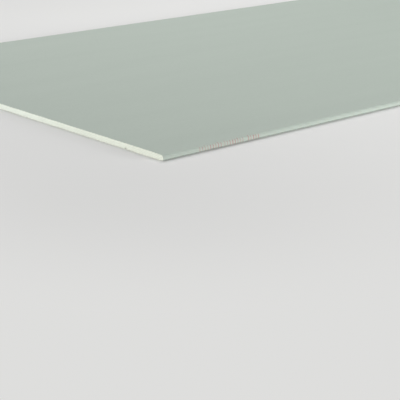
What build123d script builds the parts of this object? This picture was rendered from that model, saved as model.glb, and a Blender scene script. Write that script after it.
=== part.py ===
from build123d import *
import os

# A sheet of plasterboard lying on its back, face up.
# Its length runs along X, its width along Y, and the origin is the middle of its underside.
# The board is cast between two paper liners on a moving belt, so one section holds for the
# whole length. The sections are drawn with the width across the page and the thickness up it,
# then stood up and run out to both sawn ends.

# The sheet
sheet_length = 2500.0
sheet_width = 1200.0
sheet_thickness = 12.5

# The liners
face_paper_thickness = 0.35
back_paper_thickness = 0.35
lap_width = 26.0            # face paper folded under, measured from the long edge
back_paper_setback = 7.0    # lap left bare between the back paper and the long edge

# The long edges: the face slopes down a little, then goes round a half-round nose
taper_width = 45.0          # from the long edge to where the slope starts
taper_depth = 0.9           # how far the slope would have sunk at the long edge
taper_bend_radius = 400.0   # the soft change from flat face to slope
nose_radius = 6.0
fold_radius = 3.0           # the corner where the paper turns under the board

half_width = sheet_width / 2
half_length = sheet_length / 2
lap_height = back_paper_thickness    # the laps rest on the back paper


def wrapped_section():
    """The board across its width, out to the outside of the face paper and its laps."""
    right_corners = [
        (half_width, lap_height, fold_radius),
        (half_width, sheet_thickness - taper_depth, nose_radius),
        (half_width - taper_width, sheet_thickness, taper_bend_radius),
    ]
    left_corners = [(-across, up, radius) for across, up, radius in reversed(right_corners)]
    corners = right_corners + left_corners
    outline = FilletPolyline(
        *[(across, up) for across, up, radius in corners],
        radius=[radius for across, up, radius in corners],
        close=True,
    )
    return make_face(outline.edges())


def strip_section(width, bottom, top):
    """A flat strip across the board, centred on it, between two heights."""
    return Pos(0, (bottom + top) / 2) * Rectangle(width, top - bottom)


def run_to_length(section):
    """Stand a section up across the board and run it out to both sawn ends."""
    return extrude(Plane.YZ * section, amount=half_length, both=True)


# The gypsum fills the folded face paper, and between the laps it reaches down to the back paper
wrapped = wrapped_section()
inside_face_paper = offset(wrapped, amount=-face_paper_thickness)
between_laps = strip_section(
    sheet_width - 2 * lap_width, lap_height, lap_height + face_paper_thickness
)
core_section = inside_face_paper + between_laps
face_paper_section = wrapped - core_section
back_paper_section = strip_section(sheet_width - 2 * back_paper_setback, 0, back_paper_thickness)

pieces = {
    "gypsum_core": run_to_length(core_section),
    "face_paper": run_to_length(face_paper_section),
    "back_paper": run_to_length(back_paper_section),
}

os.makedirs("parts", exist_ok=True)
for name, piece in pieces.items():
    solid = piece.solid()
    solid.label = name
    export_step(solid, f"parts/{name}.step")
    size = solid.bounding_box().size
    print(f"{name}: {size.X:.1f} x {size.Y:.1f} x {size.Z:.2f} mm, {solid.volume / 1e3:.0f} cm3")
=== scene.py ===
# %% [markdown]
# # A sheet of drywall, seen from one corner
#
# The real object is one flat board: a slab of cast gypsum between two paper liners. The
# face liner is grey-green. It goes round both long edges and a little way under the board,
# and a second, narrower liner closes the back. At the two short ends the board was sawn
# through, so the cream gypsum shows there.
#
# The measured construction comes first, as a fixed frame. This lesson dresses it: every
# piece is made again at the same size and place, with the fine shape and the finish that
# a plain solid lacks. Units are metres, and the board lies flat with its length along X.

import math

import bpy
from mathutils import Matrix, Vector


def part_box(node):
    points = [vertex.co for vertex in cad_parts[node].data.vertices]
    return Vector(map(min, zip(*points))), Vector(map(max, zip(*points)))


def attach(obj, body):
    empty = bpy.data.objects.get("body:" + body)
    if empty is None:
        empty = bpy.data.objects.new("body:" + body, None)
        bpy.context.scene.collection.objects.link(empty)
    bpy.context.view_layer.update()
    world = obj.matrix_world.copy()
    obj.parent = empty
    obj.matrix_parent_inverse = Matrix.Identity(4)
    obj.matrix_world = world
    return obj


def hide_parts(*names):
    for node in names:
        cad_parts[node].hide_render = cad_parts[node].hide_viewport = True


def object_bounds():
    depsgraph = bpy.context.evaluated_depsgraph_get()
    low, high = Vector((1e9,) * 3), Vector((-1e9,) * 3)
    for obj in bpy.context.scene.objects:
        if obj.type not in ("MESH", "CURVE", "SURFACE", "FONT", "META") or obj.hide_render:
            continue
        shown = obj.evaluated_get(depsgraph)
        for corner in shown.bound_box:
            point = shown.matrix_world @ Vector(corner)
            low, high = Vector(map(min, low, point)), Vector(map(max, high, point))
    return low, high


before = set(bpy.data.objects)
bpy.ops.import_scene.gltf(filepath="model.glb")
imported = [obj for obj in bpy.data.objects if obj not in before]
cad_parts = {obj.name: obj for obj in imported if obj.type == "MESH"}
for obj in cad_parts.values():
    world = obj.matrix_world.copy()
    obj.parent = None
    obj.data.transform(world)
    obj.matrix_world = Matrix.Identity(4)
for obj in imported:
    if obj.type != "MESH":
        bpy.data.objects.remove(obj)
cad_low, cad_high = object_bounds()
print("pieces to dress:", sorted(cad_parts))
print("frame box, metres:", [round(v, 4) for v in (*cad_low, *cad_high)])

# %% [markdown]
# ## Sizes
#
# The overall sizes are read from the frame, so that the dressed pieces always fit it. The
# paper's thickness is the step between the box of the paper and the box of the gypsum in
# it. Only the shape of the long edges can't be read from boxes, so those sizes are named
# here: a shallow slope, then a half-round nose, then a small fold under the board.

# %% Read and name the sizes
MM = 0.001

_, paper_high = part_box("face_paper")
_, core_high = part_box("gypsum_core")
_, back_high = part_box("back_paper")

half_length = cad_high.x
half_width = cad_high.y
board_top = cad_high.z
paper = paper_high.z - core_high.z
lap_height = back_high.z
back_half_width = back_high.y

taper_width = 45 * MM
taper_depth = 0.9 * MM
taper_bend_radius = 400 * MM
nose_radius = 6 * MM
fold_radius = 3 * MM
lap_width = 26 * MM

print(f"board {2 * half_length:.2f} x {2 * half_width:.2f} m, {board_top / MM:.1f} mm thick")
print(f"face paper {paper / MM:.2f} mm, back paper {lap_height / MM:.2f} mm")

# %% [markdown]
# ## The camera
#
# The photograph looks down on one corner of the board from a little under three metres
# away, through a long lens. Rather than guess a camera position, we say how the camera is
# turned, which pixel the near corner falls on, and how far away that corner is. The
# position follows: walk back from the corner along the ray through that pixel.

# %% Place the camera
IMAGE_SIZE = 400
SENSOR = 36.0
LENS = 120.0
CORNER_PIXEL = (163.05, 161.15)
CORNER_DISTANCE = 2.69
TURN = math.radians(42.6)
TILT = math.radians(17.6)
ROLL = math.radians(0.68)


def camera_axes(turn, tilt, roll):
    """Right, up and forward of a camera that is turned from +Y towards +X, tilted down and rolled."""
    forward = Vector((
        math.sin(turn) * math.cos(tilt),
        math.cos(turn) * math.cos(tilt),
        -math.sin(tilt),
    ))
    level = Vector((math.cos(turn), -math.sin(turn), 0))
    upright = level.cross(forward)
    right = level * math.cos(roll) + upright * math.sin(roll)
    up = upright * math.cos(roll) - level * math.sin(roll)
    return right, up, forward


def place_camera(corner):
    """A camera that sees the corner at its pixel, from its distance."""
    right, up, forward = camera_axes(TURN, TILT, ROLL)
    focal_pixels = LENS / SENSOR * IMAGE_SIZE
    across = (CORNER_PIXEL[0] - IMAGE_SIZE / 2) / focal_pixels
    above = (IMAGE_SIZE / 2 - CORNER_PIXEL[1]) / focal_pixels
    ray = (forward + right * across + up * above).normalized()

    data = bpy.data.cameras.new("corner_camera")
    data.lens = LENS
    data.sensor_width = SENSOR
    data.clip_end = 100
    camera = bpy.data.objects.new("corner_camera", data)
    camera.matrix_world = Matrix((
        (right.x, up.x, -forward.x, 0),
        (right.y, up.y, -forward.y, 0),
        (right.z, up.z, -forward.z, 0),
        (0, 0, 0, 1),
    ))
    camera.location = corner - ray * CORNER_DISTANCE
    bpy.context.scene.collection.objects.link(camera)
    bpy.context.scene.camera = camera
    return camera


camera = place_camera(Vector((-half_length, -half_width, 0)))
print("camera at", [round(v, 3) for v in camera.location])

# %% [markdown]
# ## Wires and graphs
#
# Materials and Geometry Nodes are both trees of nodes. Two small classes make them
# readable. `Graph.node` adds a node: its kind, its settings, then what goes into its
# sockets. It hands back a `Wire`, and sums written with wires become Math nodes, so a
# formula in the tree looks like a formula in the script.

# %% A wire: what comes out of a node
class Wire:
    """An output socket of a node. Sums with it add Math nodes to its tree."""

    def __init__(self, graph, socket):
        self.graph = graph
        self.socket = socket

    def also(self, name):
        """Another output of the same node."""
        return Wire(self.graph, self.graph.find(self.socket.node.outputs, name))

    def math(self, operation, *values):
        return self.graph.math(operation, self, *values)

    def __add__(self, other):
        return self.graph.math("ADD", self, other)

    def __radd__(self, other):
        return self.graph.math("ADD", other, self)

    def __sub__(self, other):
        return self.graph.math("SUBTRACT", self, other)

    def __rsub__(self, other):
        return self.graph.math("SUBTRACT", other, self)

    def __mul__(self, other):
        return self.graph.math("MULTIPLY", self, other)

    def __rmul__(self, other):
        return self.graph.math("MULTIPLY", other, self)

    def __truediv__(self, other):
        return self.graph.math("DIVIDE", self, other)

    def __rtruediv__(self, other):
        return self.graph.math("DIVIDE", other, self)

    def __lt__(self, other):
        return self.graph.math("LESS_THAN", self, other)


print("wires ready")


# %% A graph: what adds nodes to a tree
class Graph:
    """Adds nodes to one tree."""

    def __init__(self, tree):
        self.tree = tree

    @staticmethod
    def find(sockets, key):
        """A socket by number, identifier or name. Of several with one name, the one in use."""
        if isinstance(key, int):
            return sockets[key]
        found = [s for s in sockets if key in (s.identifier, s.name)]
        return next((s for s in found if s.enabled), found[0])

    def node(self, kind, settings=None, inputs=None, take=0):
        """Adds a node, and hands back one of its outputs, or nothing if it has none."""
        made = self.tree.nodes.new(kind)
        for name, value in (settings or {}).items():
            setattr(made, name, value)
        for key, value in (inputs or {}).items():
            socket = self.find(made.inputs, key)
            for item in value if isinstance(value, list) else [value]:
                if isinstance(item, Wire):
                    self.tree.links.new(item.socket, socket)
                else:
                    socket.default_value = item
        return Wire(self, self.find(made.outputs, take)) if made.outputs else None

    def math(self, operation, *values):
        return self.node("ShaderNodeMath", {"operation": operation}, dict(enumerate(values)))

    def fade(self, value, low, high, to_low=0.0, to_high=1.0):
        """to_low where value is at low, to_high where it is at high, and a smooth change between."""
        return self.node(
            "ShaderNodeMapRange",
            {"interpolation_type": "SMOOTHSTEP"},
            {0: value, 1: low, 2: high, 3: to_low, 4: to_high},
        )

    def colours(self, factor, first, second):
        """The first colour where factor is 0, the second where it is 1, and a mix between."""
        return self.node(
            "ShaderNodeMix",
            {"data_type": "RGBA"},
            {"Factor_Float": factor, "A_Color": first, "B_Color": second},
            take="Result_Color",
        )

    def noise(self, where, scale, detail=2.0, roughness=0.5):
        """A cloudy pattern from 0 to 1, with lumps about 1 / scale metres across."""
        return self.node(
            "ShaderNodeTexNoise",
            inputs={"Vector": where, "Scale": scale, "Detail": detail, "Roughness": roughness},
            take="Fac",
        )

    def stretch(self, where, scale):
        """The same place with each axis multiplied, so that a pattern on it is stretched."""
        return self.vector_math("MULTIPLY", where, scale)

    def vector_math(self, operation, *values, take=0):
        return self.node("ShaderNodeVectorMath", {"operation": operation}, dict(enumerate(values)), take)

    def vector(self, x=0.0, y=0.0, z=0.0):
        return self.node("ShaderNodeCombineXYZ", inputs={"X": x, "Y": y, "Z": z})

    def split(self, vector):
        """The x of a vector; its y and z are also("Y") and also("Z")."""
        return self.node("ShaderNodeSeparateXYZ", inputs={"Vector": vector})


print("graphs ready")


# %% Helpers for materials
def times(colour, factor):
    """The same colour made lighter or darker by a factor."""
    return tuple(min(1.0, v * factor) for v in colour[:3]) + (1,)


def new_material(name):
    """An empty material, its graph, and the function that sends values to its surface."""
    material = bpy.data.materials.new(name)
    material.use_nodes = True
    material.node_tree.nodes.clear()
    graph = Graph(material.node_tree)

    def surface(**values):
        shader = graph.node(
            "ShaderNodeBsdfPrincipled",
            inputs={key.replace("_", " "): value for key, value in values.items()},
        )
        graph.node("ShaderNodeOutputMaterial", inputs={"Surface": shader})

    return material, graph, surface


print("material helpers ready")

# %% [markdown]
# ## The liner paper
#
# The liners are recycled card, dyed grey-green on the face side. Up close the colour isn't
# even: fibres lie mostly along the board, because that is how the paper machine ran, and
# the sheet is a little cloudy where more or less pulp settled. All of it is faint. The
# patterns are stretched noises, and a small part of them also lifts the surface. Where the
# saw went through the paper, its edge isn't dyed and holds white dust, so it is pale.
#
# A noise has no size of its own. Its scale says how many lumps it has to the metre, and a
# stretch says so for each axis.

# %% Name the paper's colours and patterns
FACE_GREEN = (0.407, 0.462, 0.413, 1)
BACK_GREEN = (0.372, 0.402, 0.345, 1)
CUT_PAPER = (0.72, 0.735, 0.63, 1)
PALE_PULP = 1.16
DEEP_PULP = 0.84

FIBRE_STRETCH = (120.0, 1400.0, 1400.0)
STREAK_STRETCH = (0.9, 14.0, 14.0)
CLOUD_SCALE = 130.0
FLUFF_SCALE = 2600.0
FIBRE_TONE = 1.3
STREAK_TONE = 0.55
CLOUD_TONE = 0.6

LIGHT_FLECK = 1.45
LIGHT_FLECK_FADE = (0.66, 0.78)
LIGHT_FLECK_SHOWS = 0.50
DARK_FLECK = 0.55
DARK_FLECK_SCALE = 0.43
DARK_FLECK_FADE = (0.28, 0.20)
DARK_FLECK_SHOWS = 0.45
PAPER_RELIEF = 0.12 * MM

fibre_length = 1 / FIBRE_STRETCH[0]
fibre_width = 1 / FIBRE_STRETCH[1]
print(f"fibres about {fibre_length / MM:.0f} mm long and {fibre_width / MM:.1f} mm wide")


# %% Make the paper materials
def liner_paper(name, colour, unevenness):
    """Dyed recycled card with its fibres lying along X."""
    material, graph, surface = new_material(name)
    place = graph.node("ShaderNodeTexCoord", take="Object")

    fibre_place = graph.stretch(place, FIBRE_STRETCH)
    fibres = graph.noise(fibre_place, 1.0, detail=3.0, roughness=0.6)
    streaks = graph.noise(graph.stretch(place, STREAK_STRETCH), 1.0, detail=3.0)
    clouds = graph.noise(place, CLOUD_SCALE, detail=3.0)
    fluff = graph.noise(place, FLUFF_SCALE, detail=1.0)

    uneven = (clouds - 0.5) * CLOUD_TONE + (streaks - 0.5) * STREAK_TONE + (fibres - 0.5) * FIBRE_TONE
    tone = 0.5 + uneven * unevenness
    tinted = graph.colours(tone, times(colour, DEEP_PULP), times(colour, PALE_PULP))

    light_fleck = graph.fade(fibres, *LIGHT_FLECK_FADE) * LIGHT_FLECK_SHOWS
    coarse = graph.noise(fibre_place, DARK_FLECK_SCALE, detail=2.0)
    dark_fleck = graph.fade(coarse, *DARK_FLECK_FADE) * DARK_FLECK_SHOWS
    flecked = graph.colours(light_fleck, tinted, times(colour, LIGHT_FLECK))
    flecked = graph.colours(dark_fleck, flecked, times(colour, DARK_FLECK))

    facing = graph.split(graph.node("ShaderNodeNewGeometry", take="True Normal"))
    cut = graph.fade(facing.math("ABSOLUTE"), 0.5, 0.8)
    painted = graph.colours(cut, flecked, CUT_PAPER)

    height = fibres * 0.5 + clouds * 0.3 + fluff * 0.2
    bumped = graph.node(
        "ShaderNodeBump", inputs={"Strength": 0.35, "Distance": PAPER_RELIEF, "Height": height}, take="Normal"
    )
    surface(
        Base_Color=painted,
        Roughness=graph.fade(clouds, 0.2, 0.8, 0.78, 0.92),
        IOR=1.45,
        Specular_IOR_Level=0.28,
        Normal=bumped,
    )
    return material


face_liner = liner_paper("green_face_liner", FACE_GREEN, 0.34)
back_liner = liner_paper("grey_green_back_liner", BACK_GREEN, 0.42)
print("papers:", face_liner.name, back_liner.name)

# %% [markdown]
# ## The gypsum
#
# Cast gypsum is a cream white, and foamed: a cut through it is full of small bubbles. The
# saw leaves slanting marks. Both are real relief in the mesh that comes later, which also
# stores how deep each point lies as an attribute named `hollow`. The material reads it to
# paint shade into the hollows and pinholes as darker colour, and adds grain too fine for
# the mesh. It also paints shade towards the long edges: the gypsum is a little darker and
# warmer there, which stands in for the light on a sawn end falling off towards its corners.

# %% Make the gypsum material
GYPSUM_CREAM = (0.806, 0.855, 0.772, 1)
# Painted shade: the darker, warmer colour towards the long edges of a sawn end.
GYPSUM_CORNER_SHADE = (0.760, 0.793, 0.697, 1)
# The darker colour, for painted shade in hollows and for random tone.
GYPSUM_SHADE_AND_TONE = (0.560, 0.585, 0.500, 1)
CORNER_SHADE_REACH = 600 * MM

GRAIN_SCALE = 1500.0
PATCH_SCALE = 60.0
PINHOLE_SCALE = 900.0
PINHOLE_FADE = (0.30, 0.14)
HOLLOW_SHADE = 0.55
PINHOLE_SHADE = 0.22
GRAIN_TONE = 0.16
PATCH_TONE = 0.22
GRAIN_RELIEF = 0.2 * MM


def sawn_gypsum(name):
    """Cream gypsum, with painted shade in its hollows and pinholes and towards its corners."""
    material, graph, surface = new_material(name)
    place = graph.node("ShaderNodeTexCoord", take="Object")
    hollow = graph.node("ShaderNodeAttribute", {"attribute_name": "hollow"}, take="Fac")

    grain = graph.noise(place, GRAIN_SCALE, detail=3.0, roughness=0.6)
    patches = graph.noise(place, PATCH_SCALE, detail=3.0)
    bubbles = graph.node(
        "ShaderNodeTexVoronoi", {"feature": "F1"}, {"Vector": place, "Scale": PINHOLE_SCALE}, take="Distance"
    )
    pinholes = graph.fade(bubbles, *PINHOLE_FADE)

    # Painted shade: darker and warmer towards the long edges, for the light falling off there.
    to_corner = half_width - graph.split(place).also("Y").math("ABSOLUTE")
    corner_shade = graph.fade(to_corner, 0.0, CORNER_SHADE_REACH, 1.0, 0.0)
    clean = graph.colours(corner_shade, GYPSUM_CREAM, GYPSUM_CORNER_SHADE)
    # Painted shade in the hollows and pinholes; grain and patches add random tone.
    shade = hollow * HOLLOW_SHADE + pinholes * PINHOLE_SHADE
    shade = shade + (grain - 0.5) * GRAIN_TONE + (patches - 0.5) * PATCH_TONE
    colour = graph.colours(graph.math("MAXIMUM", shade, 0.0), clean, GYPSUM_SHADE_AND_TONE)
    height = grain * 0.6 - pinholes * 0.8
    bumped = graph.node(
        "ShaderNodeBump", inputs={"Strength": 0.5, "Distance": GRAIN_RELIEF, "Height": height}, take="Normal"
    )
    surface(
        Base_Color=colour,
        Roughness=graph.fade(grain, 0.2, 0.8, 0.86, 0.97),
        Specular_IOR_Level=0.2,
        Normal=bumped,
    )
    return material


gypsum = sawn_gypsum("sawn_cream_gypsum")
print("gypsum:", gypsum.name)

# %% [markdown]
# ## The section line
#
# The board has one section all along its length, so its shape starts as a line drawn
# across the board: the outside of the face paper, from the end of one lap, round the fold
# and the nose, over the face, and down the other side. The line is a polygon with rounded
# corners. A function rounds each corner with an arc and puts points closely on the arcs
# and at an even, wider spacing on the straights.

# %% Draw the section line
ARC_STEP = math.radians(4)
STRAIGHT_STEP = 1.0 * MM


def rounded_line(corners):
    """Points along a line through corners of (across, up, radius). The ends have radius 0."""
    points = [Vector(corners[0][:2])]

    def straight_to(end):
        start = points[-1]
        steps = max(1, round((end - start).length / STRAIGHT_STEP))
        points.extend(start.lerp(end, i / steps) for i in range(1, steps + 1))

    for before, here, after in zip(corners, corners[1:], corners[2:]):
        corner, radius = Vector(here[:2]), here[2]
        way_in = (corner - Vector(before[:2])).normalized()
        way_out = (Vector(after[:2]) - corner).normalized()
        turn = way_in.angle_signed(way_out)
        reach = radius * math.tan(abs(turn) / 2)
        straight_to(corner - way_in * reach)
        side = 1 if turn < 0 else -1
        centre = points[-1] + Vector((-way_in.y, way_in.x)) * radius * side
        spoke = points[-1] - centre
        steps = max(2, math.ceil(abs(turn) / ARC_STEP))
        for i in range(1, steps + 1):
            points.append(centre + Matrix.Rotation(-turn * i / steps, 2) @ spoke)
    straight_to(Vector(corners[-1][:2]))
    return points


right_side = [
    (half_width - taper_width, board_top, taper_bend_radius),
    (half_width, board_top - taper_depth, nose_radius),
    (half_width, lap_height, fold_radius),
    (half_width - lap_width, lap_height, 0),
]
left_side = [(-across, up, radius) for across, up, radius in reversed(right_side)]
outside_line = rounded_line(left_side + right_side)
print("section line:", len(outside_line), "points")

# %% [markdown]
# A line that only guides a Geometry Nodes tree is a helper. It is kept as a poly curve
# that isn't shown and is deleted at the end.

# %% Turn a line into a guide curve
guides = []


def guide(name, points):
    """A hidden curve across the board at X = 0, through points of (across, up)."""
    data = bpy.data.curves.new(name, "CURVE")
    data.dimensions = "3D"
    spline = data.splines.new("POLY")
    spline.points.add(len(points) - 1)
    for place, (across, up) in zip(spline.points, points):
        place.co = (0, across, up, 1)
    curve = bpy.data.objects.new(name, data)
    bpy.context.scene.collection.objects.link(curve)
    curve.hide_render = True
    guides.append(curve)
    return curve


outside_guide = guide("outside_guide", outside_line)
back_guide = guide("back_guide", rounded_line([(back_half_width, 0, 0), (-back_half_width, 0, 0)]))
print("guides:", [g.name for g in guides])

# %% [markdown]
# ## Running a Geometry Nodes tree
#
# Each tree gets named inputs. A helper makes the tree, another puts it on an empty object
# as a modifier, sets its inputs by their identifiers, adds any modifiers that finish the
# piece, and turns the result into a plain mesh. What is left has no modifiers at all.

# %% Helpers for trees and finished pieces
SOCKETS = {float: "NodeSocketFloat", int: "NodeSocketInt", bpy.types.Object: "NodeSocketObject"}
CREASE = math.radians(30)


def new_tree(name, inputs):
    """A tree with named inputs, its graph, and a wire for each input."""
    tree = bpy.data.node_groups.new(name, "GeometryNodeTree")
    for label, kind in inputs.items():
        tree.interface.new_socket(label, in_out="INPUT", socket_type=SOCKETS[kind])
    tree.interface.new_socket("Geometry", in_out="OUTPUT", socket_type="NodeSocketGeometry")
    graph = Graph(tree)
    entry = graph.node("NodeGroupInput")
    return tree, graph, {label: entry.also(label) for label in inputs}


def close_tree(graph, geometry, material):
    """Every tree ends the same way: real geometry, with its material."""
    real = graph.node("GeometryNodeRealizeInstances", inputs={"Geometry": geometry})
    finished = graph.node("GeometryNodeSetMaterial", inputs={"Geometry": real, "Material": material})
    graph.node("NodeGroupOutput", inputs={"Geometry": finished})


def grow(name, tree, values, wall=0.0):
    """Runs the tree with these input values. A wall turns what it made into a slab, inwards."""
    holder = bpy.data.objects.new(name + "_holder", bpy.data.meshes.new(name + "_holder"))
    bpy.context.scene.collection.objects.link(holder)
    modifier = holder.modifiers.new("tree", "NODES")
    modifier.node_group = tree
    for item in tree.interface.items_tree:
        if item.in_out == "INPUT":
            modifier[item.identifier] = values[item.name]
    if wall:
        slab = holder.modifiers.new("slab", "SOLIDIFY")
        slab.thickness = wall
        slab.offset = -1
        slab.use_even_offset = True
    depsgraph = bpy.context.evaluated_depsgraph_get()
    mesh = bpy.data.meshes.new_from_object(holder.evaluated_get(depsgraph), depsgraph=depsgraph)
    mesh.name = name
    mesh.shade_smooth()
    mesh.set_sharp_from_angle(angle=CREASE)
    piece = bpy.data.objects.new(name, mesh)
    bpy.context.scene.collection.objects.link(piece)
    bpy.data.objects.remove(holder)
    triangles = sum(len(face.vertices) - 2 for face in mesh.polygons)
    print(f"{name}: {len(mesh.vertices)} points, {triangles} triangles")
    return piece


print("tree helpers ready")

# %% [markdown]
# ## Laying the paper
#
# Both liners are the same thing, a flat sheet that follows a line across the board, so
# one tree lays both. It turns the guide curve into a row of edges at one sawn end, pulls
# the row out to the other end, and then nibbles the two cut ends back a little, by an
# uneven noise, because a saw tears paper rather than cutting it clean. The thickness comes
# from a Solidify modifier, inwards from the outside.
#
# The photographed board has one small nick, knocked out of the lower edge of the near end
# about a tenth of a metre from the corner. Paper and gypsum are both dented there, so both
# trees ask the same function how deep it is.

# %% The nick
NICK_FROM_CORNER = 118 * MM
NICK_RADIUS = 4.8 * MM
NICK_FLOOR_RADIUS = 1.44 * MM
NICK_DEPTH = 3.0 * MM


def nick_depth(graph, place, half_length_wire):
    """How deep the nick goes in at a place: deepest at the lower edge of the near end."""
    middle = graph.vector(x=half_length_wire * -1.0, y=NICK_FROM_CORNER - half_width)
    away = graph.vector_math("DISTANCE", place, middle, take="Value")
    return graph.fade(away, NICK_FLOOR_RADIUS, NICK_RADIUS, 1.0, 0.0) * NICK_DEPTH


print(f"nick: {NICK_DEPTH / MM:.1f} mm deep and {2 * NICK_RADIUS / MM:.1f} mm across")

# %% The paper tree
TEAR_FADE = (0.35, 0.75)


def paper_tree(material):
    """Lays a sheet along a line across the board, from end to end, and nibbles its cut ends."""
    tree, graph, value = new_tree(
        "lay_paper",
        {
            "Line": bpy.types.Object,
            "Half Length": float,
            "Nibble": float,
            "Nibble Size": float,
            "Seed": float,
        },
    )
    line = graph.node("GeometryNodeObjectInfo", inputs={"Object": value["Line"]}, take="Geometry")
    edges = graph.node("GeometryNodeCurveToMesh", inputs={"Curve": line})
    start = graph.vector(x=value["Half Length"] * -1.0)
    row = graph.node("GeometryNodeSetPosition", inputs={"Geometry": edges, "Offset": start})
    run = graph.vector(x=value["Half Length"] * 2.0)
    laid = graph.node(
        "GeometryNodeExtrudeMesh", {"mode": "EDGES"}, {"Mesh": row, "Offset": run, "Offset Scale": 1.0}
    )

    place = graph.node("GeometryNodeInputPosition")
    along = graph.split(place)
    ragged = graph.node(
        "ShaderNodeTexNoise",
        {"noise_dimensions": "4D"},
        {"Vector": place, "W": value["Seed"], "Scale": 1.0 / value["Nibble Size"], "Detail": 3.0},
        take="Fac",
    )
    depth = value["Nibble"] * graph.fade(ragged, *TEAR_FADE)
    depth = depth + nick_depth(graph, place, value["Half Length"])
    inwards = graph.vector(x=depth * along.math("SIGN") * -1.0)
    nibbled = graph.node("GeometryNodeSetPosition", inputs={"Geometry": laid, "Offset": inwards})
    close_tree(graph, nibbled, material)
    return tree


face_tree = paper_tree(face_liner)
back_tree = paper_tree(back_liner)
print("paper trees:", len(face_tree.nodes), "nodes each")

# %% Lay the face paper
NIBBLE = 0.35 * MM
NIBBLE_SIZE = 2.5 * MM

face_paper = grow(
    "wrapped_face_paper",
    face_tree,
    {
        "Line": outside_guide,
        "Half Length": half_length,
        "Nibble": NIBBLE,
        "Nibble Size": NIBBLE_SIZE,
        "Seed": 3.0,
    },
    wall=paper,
)
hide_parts("face_paper")
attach(face_paper, "root")

# %% Lay the back paper
back_paper = grow(
    "laid_back_paper",
    back_tree,
    {
        "Line": back_guide,
        "Half Length": half_length,
        "Nibble": NIBBLE,
        "Nibble Size": NIBBLE_SIZE,
        "Seed": 8.0,
    },
    wall=lap_height,
)
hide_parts("back_paper")
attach(back_paper, "root")

# %% [markdown]
# ## Casting the gypsum
#
# The core shows only at the sawn ends, so that is where its points go. One end is a grid
# stretched between two guide curves, the core's upper and lower outline. The tree pulls
# its border out to the far end, where the same grid closes it, facing the other way. Then
# it cuts relief into both ends: slanted saw marks, bubbles of the foamed gypsum, and crumbs
# that broke off next to the paper. How much painted shade each point gets, from its saw
# mark, bubble and crumb, is stored as `hollow`.

# %% The core's outline
def inset_line(points, depth):
    """The same line moved inwards, to the right of its direction, by depth."""
    moved = []
    for i, point in enumerate(points):
        before = points[max(0, i - 1)]
        after = points[min(len(points) - 1, i + 1)]
        way = (after - before).normalized()
        moved.append(point + Vector((way.y, -way.x)) * depth)
    return moved


inside_line = inset_line(outside_line, paper)
nose_foot = board_top - taper_depth - nose_radius
upper_line = [p for p in inside_line if p.y > nose_foot]
lap_end = half_width - lap_width
lower_half = [
    (half_width - paper, lap_height + fold_radius, 0),
    (half_width - paper, lap_height + paper, fold_radius - paper),
    (lap_end, lap_height + paper, 0),
    (lap_end, lap_height, 0),
]
lower_line = rounded_line([(-across, up, radius) for across, up, radius in lower_half] + lower_half[::-1])
upper_guide = guide("upper_guide", upper_line)
lower_guide = guide("lower_guide", lower_line)
print("core outline:", len(upper_line), "points above,", len(lower_line), "below")


# %% The core's closed form
SEAM = 0.01 * MM


def core_form(graph, value):
    """Both ends as grids between the two guide curves, and plain walls from one to the other."""
    square = graph.node(
        "GeometryNodeMeshGrid",
        inputs={"Size X": 1.0, "Size Y": 1.0, "Vertices X": value["Columns"], "Vertices Y": value["Rows"]},
    )
    on_square = graph.split(graph.node("GeometryNodeInputPosition"))
    across = on_square + 0.5
    down = 0.5 - on_square.also("Y")

    def on_line(label):
        line = graph.node("GeometryNodeObjectInfo", inputs={"Object": value[label]}, take="Geometry")
        return graph.node(
            "GeometryNodeSampleCurve", {"mode": "FACTOR"}, {"Curves": line, "Factor": across}, take="Position"
        )

    stretched = graph.node(
        "ShaderNodeMix",
        {"data_type": "VECTOR"},
        {"Factor_Float": down, "A_Vector": on_line("Upper Line"), "B_Vector": on_line("Lower Line")},
        take="Result_Vector",
    )
    far_end = graph.node(
        "GeometryNodeSetPosition",
        inputs={"Geometry": square, "Position": stretched, "Offset": graph.vector(x=value["Half Length"])},
    )
    back = graph.vector(x=value["Half Length"] * -2.0)
    near_end = graph.node("GeometryNodeTransform", inputs={"Geometry": far_end, "Translation": back})
    near_end = graph.node("GeometryNodeFlipFaces", inputs={"Mesh": near_end})
    border = graph.node("GeometryNodeInputMeshEdgeNeighbors") < 1.5
    run = graph.vector(x=value["Half Length"] * 2.0)
    open_box = graph.node(
        "GeometryNodeExtrudeMesh",
        {"mode": "EDGES"},
        {"Mesh": near_end, "Selection": border, "Offset": run, "Offset Scale": 1.0},
    )
    both = graph.node("GeometryNodeJoinGeometry", inputs={"Geometry": [open_box, far_end]})
    return graph.node("GeometryNodeMergeByDistance", inputs={"Geometry": both, "Distance": SEAM})


print("core form: walls joined to the ends where they are less than", SEAM / MM, "mm apart")

# %% The relief of a sawn end
SAW_SLANT = math.radians(35)
SAW_WANDER = 2.0
SAW_WANDER_SCALE = 25.0
SAW_GRIP_SCALE = 18.0
SAW_GRIP_FADE = (0.35, 0.65)
LEAST_GRIP = 0.35
BUBBLE_FADE = (0.42, 0.12)
CRUMB_FADE = (0.52, 0.70)
CRUMBLES_FROM_MIDDLE = (0.34, 0.47)
SAW_HOLLOW = 0.5
BUBBLE_HOLLOW = 0.5
CRUMB_HOLLOW = 0.25


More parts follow.
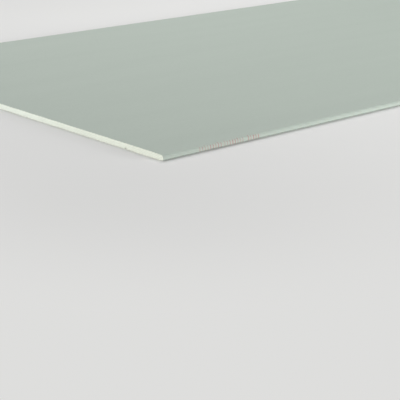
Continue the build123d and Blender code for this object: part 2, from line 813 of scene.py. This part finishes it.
def sawn_relief(graph, value, place):
    """How deep saw, bubbles and crumbs go in at a place, and its painted shade, 0 to 1."""
    at = graph.split(place)
    wander = graph.noise(place, SAW_WANDER_SCALE) * SAW_WANDER
    slanted = (at.also("Y") + at.also("Z") / math.tan(SAW_SLANT)) / value["Saw Pitch"]
    wave = ((slanted + wander) * math.tau).math("SINE")
    grip = graph.fade(graph.noise(place, SAW_GRIP_SCALE), *SAW_GRIP_FADE, LEAST_GRIP, 1.0)
    saw = (wave * 0.5 + 0.5) * grip

    cell = graph.node(
        "ShaderNodeTexVoronoi",
        inputs={"Vector": place, "Scale": 1.0 / value["Bubble Spacing"]},
        take="Distance",
    )
    bubble = graph.fade(cell, *BUBBLE_FADE)

    height = at.also("Z") / value["Board Top"]
    near_paper = graph.fade((height - 0.5).math("ABSOLUTE"), *CRUMBLES_FROM_MIDDLE)
    lump = graph.noise(place, 1.0 / value["Crumb Size"], detail=3.0)
    crumb = graph.fade(lump, *CRUMB_FADE) * near_paper

    depth = saw * value["Saw Depth"] + bubble * value["Bubble Depth"] + crumb * value["Crumb Depth"]
    # How much painted shade a point gets, from its saw mark, bubble and crumb.
    hollow = saw * SAW_HOLLOW + bubble * BUBBLE_HOLLOW + crumb * CRUMB_HOLLOW
    return depth, hollow


print(f"saw marks at {math.degrees(SAW_SLANT):.0f} degrees to the face")


# %% The core tree
def core_tree(material):
    """The core's closed form, with relief cut into both of its ends."""
    tree, graph, value = new_tree(
        "cast_gypsum",
        {
            "Upper Line": bpy.types.Object,
            "Lower Line": bpy.types.Object,
            "Half Length": float,
            "Columns": int,
            "Rows": int,
            "Board Top": float,
            "Saw Depth": float,
            "Saw Pitch": float,
            "Bubble Depth": float,
            "Bubble Spacing": float,
            "Crumb Depth": float,
            "Crumb Size": float,
        },
    )
    closed = core_form(graph, value)
    place = graph.node("GeometryNodeInputPosition")
    depth, hollow = sawn_relief(graph, value, place)
    depth = depth + nick_depth(graph, place, value["Half Length"])
    # Stores the painted shade of each point for the material to read.
    shaded = graph.node(
        "GeometryNodeStoreNamedAttribute",
        {"data_type": "FLOAT", "domain": "POINT"},
        {"Geometry": closed, "Name": "hollow", "Value": hollow},
    )
    inwards = graph.vector(x=depth * graph.split(place).math("SIGN") * -1.0)
    carved = graph.node("GeometryNodeSetPosition", inputs={"Geometry": shaded, "Offset": inwards})
    close_tree(graph, carved, material)
    return tree


cast_tree = core_tree(gypsum)
print("core tree:", len(cast_tree.nodes), "nodes")

# %% Cast the core
core = grow(
    "sawn_gypsum_core",
    cast_tree,
    {
        "Upper Line": upper_guide,
        "Lower Line": lower_guide,
        "Half Length": half_length,
        "Columns": 1700,
        "Rows": 20,
        "Board Top": board_top,
        "Saw Depth": 0.20 * MM,
        "Saw Pitch": 8.5 * MM,
        "Bubble Depth": 0.30 * MM,
        "Bubble Spacing": 2.6 * MM,
        "Crumb Depth": 0.35 * MM,
        "Crumb Size": 4.0 * MM,
    },
)
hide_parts("gypsum_core")
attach(core, "root")

# %% [markdown]
# ## Marks on the long edges
#
# Boards of this kind are printed along both long edges, in faded red, at even distances.
# This one gets plain ticks like those of a ruler, every fifth one longer, in groups. A
# tick is a strip of ink that follows the section line round the nose. Geometry Nodes is
# the natural way to repeat it: lines of points for the groups, then a line of groups.

# %% Make the ink
INK_RED = (0.41, 0.205, 0.20, 1)
INK_WORN = (0.41, 0.36, 0.33, 1)
RUB_SCALE = 1400.0
PALE_SCALE = 45.0
PALE_SHARE = 0.6
WEAR_FADE = (0.40, 0.66)


def faded_ink(name):
    """Red ink, rubbed off in specks, and paler in some ticks than in others."""
    material, graph, surface = new_material(name)
    place = graph.node("ShaderNodeTexCoord", take="Object")
    worn = graph.noise(place, RUB_SCALE, detail=3.0, roughness=0.65)
    pale = graph.noise(place, PALE_SCALE, detail=2.0)
    wear = graph.fade(worn + (pale - 0.5) * PALE_SHARE, *WEAR_FADE)
    surface(
        Base_Color=graph.colours(wear, INK_RED, INK_WORN),
        Roughness=graph.fade(worn, 0.2, 0.8, 0.74, 0.9),
        Specular_IOR_Level=0.25,
    )
    return material


ink = faded_ink("faded_red_ink")
print("ink:", ink.name)

# %% The guides of the ticks
SHORT_TICK = (1.6 * MM, 10.9 * MM)
LONG_TICK = (1.2 * MM, 11.75 * MM)
INK_RISE = 0.03 * MM


def part_of_edge(name, span):
    """A guide along the outside of the near long edge, between two heights."""
    low, high = span
    edge = [p for p in inset_line(outside_line, -INK_RISE) if p.x < 0 and low <= p.y <= high]
    return guide(name, edge)


short_guide = part_of_edge("short_tick", SHORT_TICK)
long_guide = part_of_edge("long_tick", LONG_TICK)
for line in (short_guide, long_guide):
    print(line.name, len(line.data.splines[0].points), "points")

# %% The places of the ticks
MARK_GROUPS = ((100 * MM, 160 * MM), (171 * MM, 227 * MM), (240 * MM, 276 * MM))


def tick_places(graph, value):
    """The points of one repeat of the print: an even line of them for each group."""
    rows = []
    for first, last in MARK_GROUPS:
        count = (last - first) / value["Pitch"] + 1.0
        start = graph.vector(x=first - value["Half Length"])
        step = graph.vector(x=value["Pitch"])
        rows.append(graph.node(
            "GeometryNodeMeshLine", inputs={"Count": count, "Start Location": start, "Offset": step}
        ))
    return graph.node("GeometryNodeJoinGeometry", inputs={"Geometry": rows})


print("groups, mm from the sawn end:", [(round(a / MM), round(b / MM)) for a, b in MARK_GROUPS])

# %% The tree of the ticks
LONG_EVERY = 5.0
NARROWEST = 0.75
WIDEST = 1.3


def ticks_tree(material):
    """Groups of ticks, repeated along the near edge, and turned half round for the far one."""
    tree, graph, value = new_tree(
        "print_ticks",
        {
            "Short Tick": bpy.types.Object,
            "Long Tick": bpy.types.Object,
            "Half Length": float,
            "Repeat": float,
            "Repeats": int,
            "Pitch": float,
            "Tick Width": float,
            "Seed": int,
        },
    )
    points = tick_places(graph, value)
    fifth = graph.node("GeometryNodeInputIndex").math("MODULO", LONG_EVERY) < 0.5
    thick = graph.node(
        "FunctionNodeRandomValue",
        {"data_type": "FLOAT"},
        {"Min_001": NARROWEST, "Max_001": WIDEST, "Seed": value["Seed"]},
        take="Value_001",
    )

    def tick(label, chosen):
        line = graph.node("GeometryNodeObjectInfo", inputs={"Object": value[label]}, take="Geometry")
        edges = graph.node("GeometryNodeCurveToMesh", inputs={"Curve": line})
        wide = graph.vector(x=value["Tick Width"])
        strip = graph.node(
            "GeometryNodeExtrudeMesh", {"mode": "EDGES"}, {"Mesh": edges, "Offset": wide, "Offset Scale": 1.0}
        )
        return graph.node(
            "GeometryNodeInstanceOnPoints",
            inputs={
                "Points": points,
                "Selection": chosen,
                "Instance": strip,
                "Scale": graph.vector(thick, 1.0, 1.0),
            },
        )

    ticks = [tick("Long Tick", fifth), tick("Short Tick", 1.0 - fifth)]
    group = graph.node("GeometryNodeJoinGeometry", inputs={"Geometry": ticks})
    repeats = graph.node(
        "GeometryNodeMeshLine", inputs={"Count": value["Repeats"], "Offset": graph.vector(x=value["Repeat"])}
    )
    edge = graph.node("GeometryNodeInstanceOnPoints", inputs={"Points": repeats, "Instance": group})
    turned = graph.node("GeometryNodeTransform", inputs={"Geometry": edge, "Rotation": (0, 0, math.pi)})
    both = graph.node("GeometryNodeJoinGeometry", inputs={"Geometry": [edge, turned]})
    close_tree(graph, both, material)
    return tree


print_tree = ticks_tree(ink)
print("ticks tree:", len(print_tree.nodes), "nodes")

# %% Print both long edges
marks = grow(
    "edge_ticks",
    print_tree,
    {
        "Short Tick": short_guide,
        "Long Tick": long_guide,
        "Half Length": half_length,
        "Repeat": 833 * MM,
        "Repeats": 3,
        "Pitch": 7.5 * MM,
        "Tick Width": 2.2 * MM,
        "Seed": 4,
    },
    wall=2 * INK_RISE,
)
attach(marks, "root")

# %% [markdown]
# ## Floor and light
#
# The board lies on a plain pale floor. The light is that of a studio, soft and from all
# round. A thin board shows its shape only by how its rounded edge catches the light, so
# each of its faces gets a light of its own: one nearly overhead for the face, one low at
# the left for the sawn end, one low in front for the long edge. Suns give each its even
# share, so no hot spot lies on the floor. Two wide lamps add what an even light can't: the
# face brightens a little towards the back, and the long edge towards the right. Together
# they reach a level of about one on the face, so that its colour renders about as it is
# written. The camera sees the sky as white.

# %% Lay the floor
FLOOR_SIZE = 160.0
FLOOR_DROP = 0.05 * MM
FLOOR_PALE = (0.80, 0.80, 0.79, 1)
BACKDROP_NEAR = (0.73, 0.73, 0.72, 1)
BACKDROP_FAR = (0.93, 0.93, 0.92, 1)
MOTTLE_SCALE = 3.0
MOTTLE_DARKER = 0.98
SHADOW_REACH = 0.05
BACKDROP_FROM = 0.80
BRIGHTENS_FROM = 1.0
BRIGHTENS_TO = 20.0


def sees_backdrop(graph):
    """1 on rays from the camera, off something shiny or through glass, and 0 on all others."""
    ray = graph.node("ShaderNodeLightPath", take="Is Camera Ray")
    seen = graph.math("MAXIMUM", ray, ray.also("Is Glossy Ray"))
    return graph.math("MAXIMUM", seen, ray.also("Is Transmission Ray"))


def plain_floor():
    """A pale floor. Away from the board the camera sees it as an even, brightening backdrop."""
    material, graph, surface = new_material("pale_floor")
    place = graph.node("ShaderNodeTexCoord", take="Object")
    mottle = graph.noise(place, MOTTLE_SCALE, detail=3.0)
    mottled = graph.colours(mottle, times(FLOOR_PALE, MOTTLE_DARKER), FLOOR_PALE)
    lit = graph.node("ShaderNodeBsdfDiffuse", inputs={"Color": mottled})
    beyond = graph.vector_math("SUBTRACT", graph.vector_math("ABSOLUTE", place), (half_length, half_width, 0))
    away = graph.vector_math("LENGTH", graph.vector_math("MAXIMUM", beyond, (0, 0, 0)), take="Value")
    tone = graph.colours(graph.fade(away, BRIGHTENS_FROM, BRIGHTENS_TO), BACKDROP_NEAR, BACKDROP_FAR)
    even = graph.node("ShaderNodeEmission", inputs={"Color": tone})
    clear = sees_backdrop(graph) * graph.fade(away, SHADOW_REACH, BACKDROP_FROM)
    mixed = graph.node("ShaderNodeMixShader", inputs={0: clear, 1: lit, 2: even})
    graph.node("ShaderNodeOutputMaterial", inputs={"Surface": mixed})

    half = FLOOR_SIZE / 2
    corners = [(-half, -half), (half, -half), (half, half), (-half, half)]
    mesh = bpy.data.meshes.new("floor")
    mesh.from_pydata([(x, y, -FLOOR_DROP) for x, y in corners], [], [(0, 1, 2, 3)])
    mesh.materials.append(material)
    floor = bpy.data.objects.new("floor", mesh)
    bpy.context.scene.collection.objects.link(floor)
    return floor


floor = plain_floor()
print("floor:", FLOOR_SIZE, "m square")

# %% Light it from the sky
SKY = 0.12
SKY_SEEN = 1.0


def soft_sky():
    """A dim sky that looks white to the camera and in reflections."""
    world = bpy.data.worlds.new("soft_sky")
    world.use_nodes = True
    world.node_tree.nodes.clear()
    graph = Graph(world.node_tree)
    strength = graph.node(
        "ShaderNodeMix",
        {"data_type": "FLOAT"},
        {"Factor_Float": sees_backdrop(graph), "A_Float": SKY, "B_Float": SKY_SEEN},
        take="Result_Float",
    )
    sky = graph.node("ShaderNodeBackground", inputs={"Color": (1, 1, 1, 1), "Strength": strength})
    graph.node("ShaderNodeOutputWorld", inputs={"Surface": sky})
    bpy.context.scene.world = world


soft_sky()
print("sky:", SKY, "on the board,", SKY_SEEN, "where it is seen")


# %% Light it with lamps
def light(name, kind, place, aim, energy):
    """A light at a place, turned towards its aim. The camera sees only what it lights."""
    data = bpy.data.lights.new(name, kind)
    data.energy = energy
    lamp = bpy.data.objects.new(name, data)
    lamp.location = place
    lamp.rotation_euler = (Vector(aim) - Vector(place)).to_track_quat("-Z", "Y").to_euler()
    lamp.visible_camera = False
    bpy.context.scene.collection.objects.link(lamp)
    return data


def soft_sun(name, towards, blur, energy):
    """Even light from one direction. The wider its blur, in degrees, the softer its shadows."""
    data = light(name, "SUN", towards, (0, 0, 0), energy)
    data.angle = math.radians(blur)


def wide_lamp(name, place, aim, size, spread, watts):
    """A rectangular lamp with a grid on it, which keeps its light within the spread, in degrees."""
    data = light(name, "AREA", place, aim, watts)
    data.shape = "RECTANGLE"
    data.size, data.size_y = size
    data.spread = math.radians(spread)


soft_sun("top_sun", towards=(0.10, 0.35, 1.00), blur=70, energy=0.48)
soft_sun("end_sun", towards=(-1.00, 0.25, 0.27), blur=30, energy=2.22)
soft_sun("edge_sun", towards=(0.40, -1.00, 0.15), blur=16, energy=0.65)
wide_lamp(
    "back_lamp", place=(2.6, 5.5, 5.0), aim=(0, 0, 0), size=(4.5, 4.0), spread=90, watts=110
)
wide_lamp(
    "edge_lamp", place=(1.5, -3.8, 0.6), aim=(-0.3, -0.6, 0.2), size=(2.2, 0.9), spread=60, watts=20.9
)
bpy.context.scene.view_settings.view_transform = "Standard"
print("lights:", [item.name for item in bpy.data.lights])

# %% [markdown]
# ## Finish
#
# The guide curves have done their work and go.

# %% Clear up
for helper in guides:
    bpy.data.objects.remove(helper)
